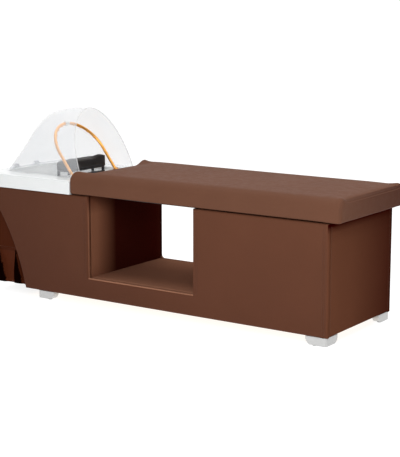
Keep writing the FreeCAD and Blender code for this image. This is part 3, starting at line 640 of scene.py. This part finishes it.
def peak(x, y):
    away = math.hypot(end_gap(x) - 0.3 * PEAK_REACH, PAD_HIGH.y - PAD_END_R - abs(y)) / PEAK_REACH
    return PEAK * math.exp(-away * away)


def pad_point(along, across, up):
    """A point on the pad: square at the bottom, rolled over along its top edges."""
    x = mix(PAD_LOW.x + PAD_SHRINK, PAD_HIGH.x - PAD_SHRINK, along)
    half, radius = PAD_HIGH.y - PAD_SHRINK, side_radius(x)
    high = PAD_HIGH.z - PAD_SHRINK
    y, z = mix(-half, half, across), mix(PAD_LOW.z + PAD_SHRINK * 0.3, high, up)
    lift = PAD_RISE + peak(x, y) - dip(x, y) - end_roll(x)
    x -= CORNER_PUSH * smooth((abs(y) - half) / (40 * MM) + 1) * smooth(1 - (x - PAD_LOW.x) / (40 * MM))
    corner = Vector((max(abs(y) - (half - radius), 0.0), max(z - (high - radius), 0.0)))
    if corner.x > 0 and corner.y > 0:
        round_off = corner.normalized() * max(corner)
        y = math.copysign(half - radius + round_off.x, y)
        z = high - radius + round_off.y
    return (x, y, z + lift * up ** 2)


def scooped_top(x, y):
    """Height of the pad's top, for pieces sewn on it."""
    return PAD_HIGH.z - PAD_SHRINK + PAD_RISE - dip(x, y) + peak(x, y) - end_roll(x)


def make_pad():
    piece = grid_box("pad_cover", (220, 48, 10), pad_point)
    voxel_mesh(piece, 8 * MM)
    inflate(piece, 4.0, 5 * MM)
    modifier(piece, "SMOOTH", factor=0.5, iterations=2)
    modifier(piece, "SUBSURF", levels=1, render_levels=1)
    finish_piece(piece, SHADES["pad_leatherette"], "base")
    piece.data.materials.append(SHADES["pad_end_painted_shade"])
    # The foot end face takes the copy with painted shade.
    for face in piece.data.polygons:
        face.material_index = int(face.normal.x > 0.6 and face.center.x > PAD_HIGH.x - END_ROLL)
    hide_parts("pad_cushion")
    return piece


def snapped(tree, points, away=0.0):
    """Points moved onto a surface, and off it by a little."""
    out = []
    for point in points:
        spot, normal, _, _ = tree.find_nearest(Vector(point))
        out.append((spot + normal * away, normal))
    return out


def surface_tree(piece):
    graph = bpy.context.evaluated_depsgraph_get()
    graph.update()
    return BVHTree.FromObject(piece, graph)


def sewn_seam(name, piece, lines, radius=1.3 * MM, sink=0.4 * MM):
    """Piping laid on a soft piece along each line, half sunk in it."""
    tree = surface_tree(piece)
    verts, faces = [], []
    for line in lines:
        track = [p for p, _ in snapped(tree, line, -sink)]
        more_verts, more_faces = tube_mesh(track, radius, 8)
        base = len(verts)
        verts += more_verts
        faces += [tuple(i + base for i in face) for face in more_faces]
    new_object(name, verts, faces, SHADES["piping"])


def profile_line(x):
    """Round the pad's section at one x: up one side, over the top and down the other."""
    low, half, radius = PAD_LOW.z + 4 * MM, PAD_HIGH.y - PAD_SHRINK, side_radius(x)
    high = PAD_HIGH.z - PAD_SHRINK
    points = [(x, -half, mix(low, high - radius, i / 12)) for i in range(13)]
    for i in range(1, 10):
        turn = math.pi / 2 * i / 10
        y = -(half - radius) - radius * math.cos(turn)
        points.append((x, y, high - radius + radius * math.sin(turn) + peak(x, y) - end_roll(x)))
    mirrored = [(px, -py, pz) for px, py, pz in reversed(points)]
    for i in range(91):
        y = mix(-(half - radius), half - radius, i / 90)
        points.append((x, y, scooped_top(x, y)))
    return points + mirrored


pad = make_pad()
PAD_ENDS = (PAD_LOW.x + 4 * MM, PAD_HIGH.x - 4 * MM)
sewn_seam("pad_piping", pad, [profile_line(x) for x in PAD_ENDS])
pad_tree = surface_tree(pad)


def stitched_track(track, pitch=STITCH_PITCH):
    """Short lines, one a stitch, along points that each have their own outward normal."""
    points = [p for p, _ in track]
    normals = [n for _, n in track]
    lengths = [0.0]
    for a, b in zip(points, points[1:]):
        lengths.append(lengths[-1] + (b - a).length)
    where, leg = pitch / 2, 0
    lines = []
    while where < lengths[-1]:
        while lengths[leg + 1] < where:
            leg += 1
        share = (where - lengths[leg]) / max(lengths[leg + 1] - lengths[leg], 1e-9)
        centre = points[leg].lerp(points[leg + 1], share)
        normal = normals[leg].lerp(normals[leg + 1], share).normalized()
        along = (points[leg + 1] - points[leg]).normalized() * pitch * 0.5
        lines.append(([centre - along, centre + along], normal))
        where += pitch
    return lines


thread = []
for x, step in ((PAD_ENDS[0], 7 * MM), (PAD_ENDS[1], -7 * MM)):
    thread += stitched_track(snapped(pad_tree, profile_line(x + step), THREAD_LIFT))
stitches("thread_pad", thread, SHADES["thread"])


# ---- apron and curtain --------------------------------------------------------------------------
def skirt_path(y_edge, x_head, x_foot, radius):
    """A U round the head end, seen from above: front wing, head side, back wing."""
    points = [Vector((x_foot, -y_edge, 0)), Vector((x_head + radius, -y_edge, 0))]
    for i in range(1, 8):
        turn = math.pi / 2 * i / 8
        x = x_head + radius - radius * math.sin(turn)
        points.append(Vector((x, -y_edge + radius - radius * math.cos(turn), 0)))
    points.append(Vector((x_head, -y_edge + radius, 0)))
    return points + [Vector((p.x, -p.y, 0)) for p in reversed(points)]


def path_length(points):
    return sum((b - a).length for a, b in zip(points, points[1:]))


def walk(points, count):
    """Even steps along a line: place, direction and distance so far."""
    total = path_length(points)
    out, leg, done = [], 0, 0.0
    for i in range(count + 1):
        where = total * i / count
        while leg < len(points) - 2 and done + (points[leg + 1] - points[leg]).length < where - 1e-9:
            done += (points[leg + 1] - points[leg]).length
            leg += 1
        a, b = points[leg], points[leg + 1]
        along = (b - a).normalized()
        out.append((a + along * (where - done), along, where))
    return out


PLEAT = 106 * MM
PLEAT_START = 0.37        # where in a pleat the front end is
CLOTH = 1.4 * MM
PLEAT_ROWS = 24


def pleat_wave(phase, fall):
    """Where the cloth is across the curtain's depth, 1 outside and -1 inside, for an inverted pleat."""
    gap = mix(0.06, 0.44, smooth(fall * 1.1))
    edge = abs((phase % 1.0) - 0.5) - (0.5 - gap / 2)
    inside = smooth(edge / 0.05 + 0.5)
    bulge = 0.18 * math.sin(math.pi * min(abs((phase % 1.0) - 0.5) / 0.5, 1.0))
    return 1.0 - bulge - 2 * inside * (0.9 - bulge)


def make_curtain():
    """One gathered sheet round the head end, in pleats that are closed at the top and open at the floor."""
    depth = (HEAD_HIGH.x - HEAD_LOW.x) / 2 - 1.5 * MM
    edge = abs(CURTAIN_LOW.y) - depth - 1.5 * MM
    path = skirt_path(edge, HEAD_LOW.x + depth + 1.5 * MM, CURTAIN_HIGH.x - 4 * MM, 26 * MM)
    total = path_length(path)
    steps = walk(path, round(total / (1.9 * MM)))
    count = round(total / PLEAT)

    def drift_and_phase(where, fall):
        drift = noise.noise(Vector((where * 7, 0.3, fall * 0.6)))
        return drift, PLEAT_START + count * where / total + 0.12 * drift + 0.22 * fall
    top, bottom = CURTAIN_HIGH.z + 6 * MM, CURTAIN_LOW.z + 1 * MM
    verts, faces = [], []
    for row in range(PLEAT_ROWS + 1):
        fall = row / PLEAT_ROWS
        for place, along, where in steps:
            ends = smooth(min(where, total - where) / (14 * MM))
            drift, phase = drift_and_phase(where, fall)
            wave = pleat_wave(phase, fall)
            out = Vector((along.y, -along.x, 0)) * (wave * depth * mix(0.35, 1.0, smooth(fall * 2)) * ends)
            hem = max(0.0, 5.0 * MM * fall ** 4 * (0.5 - 0.5 * wave + 0.6 * drift))
            verts.append((place.x + out.x, place.y + out.y, mix(top, bottom, fall) + hem))
    width = len(steps)
    for row in range(PLEAT_ROWS):
        for i in range(width - 1):
            a = row * width + i
            faces.append((a, a + 1, a + width + 1, a + width))
    piece = new_object("curtain_pleats", verts, faces, SHADES["curtain_leatherette"])
    # Faces deep in the pleats' recesses take the near-black copy: painted shadow.
    piece.data.materials.append(SHADES["pleat_shadow"])
    for face in piece.data.polygons:
        row, i = divmod(face.index, width - 1)
        _, phase = drift_and_phase(steps[i][2], row / PLEAT_ROWS)
        face.material_index = int(pleat_wave(phase, row / PLEAT_ROWS) < 0.45)
    modifier(piece, "SOLIDIFY", thickness=CLOTH, offset=0.0)
    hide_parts("curtain_front", "curtain_back", "curtain_head")


def slant_x(z, shift):
    """The base's curved head edge: X at a height, moved along X. A circle through three points."""
    (x1, z1), (x2, z2), (x3, z3) = SLANT
    ax, bx = x2 - x1, x3 - x1
    az, bz = z2 - z1, z3 - z1
    det = 2 * (ax * bz - az * bx)
    a2, b2 = ax * ax + az * az, bx * bx + bz * bz
    ux, uz = (bz * a2 - az * b2) / det, (ax * b2 - bx * a2) / det
    radius = math.hypot(ux, uz)
    cx, cz = x1 + ux, z1 + uz
    return cx + math.sqrt(max(radius ** 2 - (z - cz) ** 2, 0)) + shift


BASE_TOE_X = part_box("bottom_board")[0].x
SLANT = ((BASE_TOE_X, SIDE_LOW.z), (BASE_TOE_X - 65 * MM, SIDE_LOW.z + 206 * MM), (SIDE_LOW.x, SIDE_HIGH.z))
APRON_LAP = 22 * MM
APRON_CORNER_R = 12 * MM


def make_apron():
    """A hung sheet round the head end, slightly slack, with a turned hem."""
    edge = (abs(APRON_LOW.y) + abs(APRON_HIGH.y)) / 2
    head_x = (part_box("apron_head")[0].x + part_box("apron_head")[1].x) / 2
    verts, faces = [], []
    rows, columns, turned_rows = 36, 190, 3
    for row in range(rows + 1):
        z = mix(APRON_HIGH.z, APRON_LOW.z, row / rows)
        foot_x = min(slant_x(z, APRON_LAP), APRON_HIGH.x)
        foot_x = max(foot_x, head_x + 14 * MM)
        path = skirt_path(edge, head_x, foot_x, APRON_CORNER_R)
        for point, along, _ in walk(path, columns):
            out = Vector((along.y, -along.x, 0))
            slack = 1.1 * MM * noise.noise(Vector((point.x * 9, point.y * 9, z * 3.2)))
            slack += 0.5 * MM * noise.noise(Vector((point.x * 30, point.y * 30, z * 9)))
            turned = 0.7 * MM if row > rows - turned_rows else 0.0
            point = point + out * (slack * smooth(row / rows * 3) + turned)
            verts.append((point.x, point.y, z))
    for row in range(rows):
        for i in range(columns):
            a = row * (columns + 1) + i
            faces.append((a, a + 1, a + columns + 2, a + columns + 1))
    piece = new_object("apron_cloth", verts, faces, SHADES["apron_leatherette"])
    modifier(piece, "SOLIDIFY", thickness=CLOTH, offset=0.0)
    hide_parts("apron_front", "apron_back", "apron_head")
    hem = [Vector((p.x, p.y, APRON_LOW.z + 11 * MM)) for p in
           skirt_path(edge + 1.2 * MM, head_x - 1.2 * MM, slant_x(APRON_LOW.z, APRON_LAP - 4 * MM), 13 * MM)]
    lines = []
    for a, b in zip(hem, hem[1:]):
        along = (b - a).normalized()
        lines.append(([a, b], (along.y, -along.x, 0)))
    stitches("thread_apron", lines, SHADES["thread"])


make_apron()
make_curtain()


# ---- hood ---------------------------------------------------------------------------------------
HOOD_BASE = HOOD_LOW.z
HOOD_RISE = HOOD_HIGH.z - HOOD_LOW.z
HOOD_HALF = HOOD_HIGH.y
HOOD_BACK = HOOD_LOW.x
HOOD_FRONT = HOOD_HIGH.x
HOOD_LEAN = 0.368         # how far the mouth goes back for each metre up
HOOD_CORNER = 100 * MM
HOOD_WALL = 3 * MM
BEAD_R = 2.2 * MM
HOOD_LEVEL = HOOD_BACK + 340 * MM
HOOD_AROUND = 56          # steps round the hood
HOOD_ALONG = 16           # steps from where the top line is level to the mouth
# How far up the top line is, as shares of the rise, along its run from the back to where it is level.
TOP_LINE = ((0.0, 0.0), (0.134, 0.22), (0.271, 0.442), (0.43, 0.76), (0.562, 0.911), (0.78, 0.972),
            (1.0, 1.0))


def eased(points, rounds=3):
    """Corner cutting: the same line, smoother."""
    points = [Vector(p) for p in points]
    for _ in range(rounds):
        cut = [points[0]]
        for a, b in zip(points, points[1:]):
            cut += [a.lerp(b, 0.25), a.lerp(b, 0.75)]
        points = cut + [points[-1]]
    return points


def hood_surface(grow, lift=0.0):
    """Rows of points over the hood, from its back to its leaning mouth."""
    line = [(mix(HOOD_BACK, HOOD_LEVEL, p.x), HOOD_RISE * p.y) for p in eased(TOP_LINE, 3)]
    rows = []
    turns = [math.pi * k / HOOD_AROUND for k in range(HOOD_AROUND + 1)]
    for x, rise in line[1:]:
        inset = max(0.0, HOOD_BACK + HOOD_CORNER - x)
        half = HOOD_HALF - HOOD_CORNER + math.sqrt(max(HOOD_CORNER ** 2 - inset ** 2, 0.0)) + grow
        rows.append([(x, half * math.cos(turn), (rise + grow) * math.sin(turn)) for turn in turns])
    last = rows[-1]
    for i in range(1, HOOD_ALONG + 1):
        row = []
        for x, y, rise in last:
            mouth = HOOD_FRONT + lift - HOOD_LEAN * rise
            row.append((mix(x, mouth, i / HOOD_ALONG), y, rise))
        rows.append(row)
    return [[Vector((x, y, HOOD_BASE + max(z, 0.0))) for x, y, z in row] for row in rows]


def make_hood():
    outer, inner = hood_surface(0.0), hood_surface(-HOOD_WALL)
    verts, faces = [point for row in outer + inner for point in row], []
    width = HOOD_AROUND + 1
    count = len(outer)
    shell = count * width
    for r in range(count - 1):
        for k in range(HOOD_AROUND):
            a = r * width + k
            faces.append((a, a + 1, a + width + 1, a + width))
            b = shell + a
            faces.append((b, b + width, b + width + 1, b + 1))
    front = [(count - 1) * width + k for k in range(width)]
    for a, b in zip(front, front[1:]):
        faces.append((a, b, b + shell, a + shell))
    back = list(range(width))
    for a, b in zip(back, back[1:]):
        faces.append((b, a, a + shell, b + shell))
    for k, flip in ((0, False), (HOOD_AROUND, True)):
        for r in range(count - 1):
            a, b = r * width + k, (r + 1) * width + k
            quad = (a, b, b + shell, a + shell)
            faces.append(tuple(reversed(quad)) if flip else quad)
    piece = new_object("hood_dome", verts, faces, SHADES["hood_clear"], "hood")
    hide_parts("hood_shell")
    verts, faces = tube_mesh(hood_surface(-HOOD_WALL / 2, 2.5 * MM)[-1], BEAD_R, 12)
    trim = new_object("hood_mouth_bead", verts, faces, SHADES["bead_clear"], "hood")
    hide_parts("hood_edge_trim")


make_hood()


# ---- neck rest ----------------------------------------------------------------------------------
REST_DIP = 13 * MM
REST_BACK = 16 * MM       # how much lower the side towards the bowl is


def rest_point(along, across, up):
    """The saddle: a shallow dip between two low horns, with square, softened ends."""
    shrink = 3 * MM
    x = mix(REST_LOW.x + shrink, REST_HIGH.x - shrink, along)
    half = REST_HIGH.y - shrink
    y = mix(-half, half, across)
    share = abs(y) / half
    front = smooth((along - 0.3) / 0.55)
    top = REST_HIGH.z - REST_DIP * (1 - smooth((share - 0.3) / 0.5)) * front - REST_BACK * (1 - front)
    top -= 3 * MM * max(share - 0.85, 0.0) / 0.15
    return (x, y, mix(REST_LOW.z + 1 * MM, top, up))


SEAM_STEPS = 120


def squarish(share):
    """Pushes a circle's cosine or sine out towards a square."""
    return math.copysign(abs(share) ** 0.35, share)


def make_neck_rest():
    piece = grid_box("rest_pad", (22, 62, 8), rest_point)
    voxel_mesh(piece, 4.5 * MM)
    inflate(piece, 5.0, 4 * MM)
    modifier(piece, "SMOOTH", factor=0.5, iterations=3)
    modifier(piece, "SUBSURF", levels=1, render_levels=1)
    finish_piece(piece, SHADES["rest_black"], "neck_rest")
    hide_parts("neck_rest_pad")
    tree = surface_tree(piece)
    z = REST_LOW.z + 9 * MM
    loop = []
    for i in range(SEAM_STEPS):
        turn = 2 * math.pi * i / SEAM_STEPS
        along, across = squarish(math.cos(turn)), squarish(math.sin(turn))
        x = (REST_LOW.x + REST_HIGH.x) / 2 + (REST_HIGH.x - REST_LOW.x) / 2 * along
        loop.append((x, REST_HIGH.y * across, z))
    track = [p for p, _ in snapped(tree, loop, -0.2 * MM)]
    verts, faces = tube_mesh(track, 0.9 * MM, 8, closed=True)
    new_object("rest_seam", verts, faces, SHADES["rest_frame"], "neck_rest")


make_neck_rest()


# ---- CAD nodes that keep their shape ------------------------------------------------------------
SLOTS = {part["node"]: part["material_slot"] for part in frame["record"]["subparts"]}
# The opening's floor takes the sill's copy, with its painted highlight and painted shade.
OWN_SHADES = {"opening_floor": "leatherette_sill_painted_light"}
SOFTENED = {"basin": 2.0, "corner_foot_foot_front": 2.5, "corner_foot_foot_back": 2.5,
            "corner_foot_head_front": 2.5, "corner_foot_head_back": 2.5, "neck_rest_frame": 0.8,
            "ring_pedestal_front": 1.0, "ring_pedestal_back": 1.0, "crown_fitting": 1.2,
            "mixer_body": 0.8, "mixer_cap": 0.6, "mixer_lever": 0.5, "hinge_base_front": 0.4,
            "hinge_base_back": 0.4, "hinge_knuckle_front": 0.4, "hinge_knuckle_back": 0.4,
            "hood_flange": 0.8, "drain_flange": 0.8, "bottom_board": 0.8, "pad_board": 0.8}
for name, node in NODES.items():
    node.data.materials.clear()
    node.data.materials.append(SHADES[OWN_SHADES.get(name, SLOTS[name])])
    if name in SOFTENED:
        modifier(node, "BEVEL", width=SOFTENED[name] * MM, segments=3, limit_method="ANGLE",
                 angle_limit=math.radians(40), use_clamp_overlap=True)
        modifier(node, "WEIGHTED_NORMAL", keep_sharp=True)


# ---- floor, light and camera --------------------------------------------------------------------
FLOOR_HALF = 60.0


def make_stage():
    mesh = bpy.data.meshes.new("floor")
    corners = [(a * FLOOR_HALF, b * FLOOR_HALF, 0) for a, b in ((-1, -1), (1, -1), (1, 1), (-1, 1))]
    mesh.from_pydata(corners, [], [(0, 1, 2, 3)])
    floor = bpy.data.objects.new("floor", mesh)
    bpy.context.scene.collection.objects.link(floor)
    shade = Shade("floor_white", (0.33, 0.33, 0.33), 0.9, Specular_IOR_Level=0.0, Emission_Color=(1, 1, 1, 1),
                  Emission_Strength=0.85)
    shade.colour(shade.ramp(shade.noise(0.6, 3.0), ((0.3, (0.32,) * 3), (0.7, (0.34,) * 3))))
    mesh.materials.append(shade.material)


def area_light(name, place, aim, size, power, colour=(1, 1, 1)):
    light = bpy.data.lights.new(name, "AREA")
    light.energy = power
    light.shape = "RECTANGLE"
    light.size, light.size_y = size
    light.color = colour
    lamp = bpy.data.objects.new(name, light)
    lamp.location = place
    lamp.rotation_euler = (Vector(aim) - Vector(place)).to_track_quat("-Z", "Y").to_euler()
    bpy.context.scene.collection.objects.link(lamp)


def make_lights():
    world = bpy.data.worlds.new("studio")
    world.use_nodes = True
    nodes, links = world.node_tree.nodes, world.node_tree.links
    sky = nodes["Background"]
    sky.inputs["Color"].default_value = (1, 1, 1, 1)
    around = nodes.new("ShaderNodeTexCoord")
    toward = nodes.new("ShaderNodeVectorMath")
    toward.operation = "DOT_PRODUCT"
    toward.inputs[1].default_value = (-0.57, 0.82, 0.0)
    level = nodes.new("ShaderNodeMapRange")
    for key, value in (("From Min", -0.3), ("From Max", 0.5), ("To Min", 0.22), ("To Max", 1.05)):
        level.inputs[key].default_value = value
    links.new(around.outputs["Generated"], toward.inputs[0])
    links.new(toward.outputs["Value"], level.inputs["Value"])
    links.new(level.outputs["Result"], sky.inputs["Strength"])
    bpy.context.scene.world = world
    area_light("key", (1.9, -3.2, 2.2), (0.7, 0, 0.35), (2.0, 1.4), 74)
    area_light("top", (0.2, 0.6, 4.6), (0.2, 0, 0.3), (7.0, 6.0), 158)


def make_camera():
    camera = bpy.data.cameras.new("camera")
    camera.sensor_width = 36
    camera.lens = 102.2
    eye = bpy.data.objects.new("camera", camera)
    eye.location = (3.638, -5.143, 1.5455)
    eye.rotation_euler = (math.radians(79.559), 0, math.radians(34.528))
    bpy.context.scene.collection.objects.link(eye)
    bpy.context.scene.camera = eye


make_stage()
make_lights()
make_camera()
bpy.context.scene.view_settings.view_transform = "Standard"
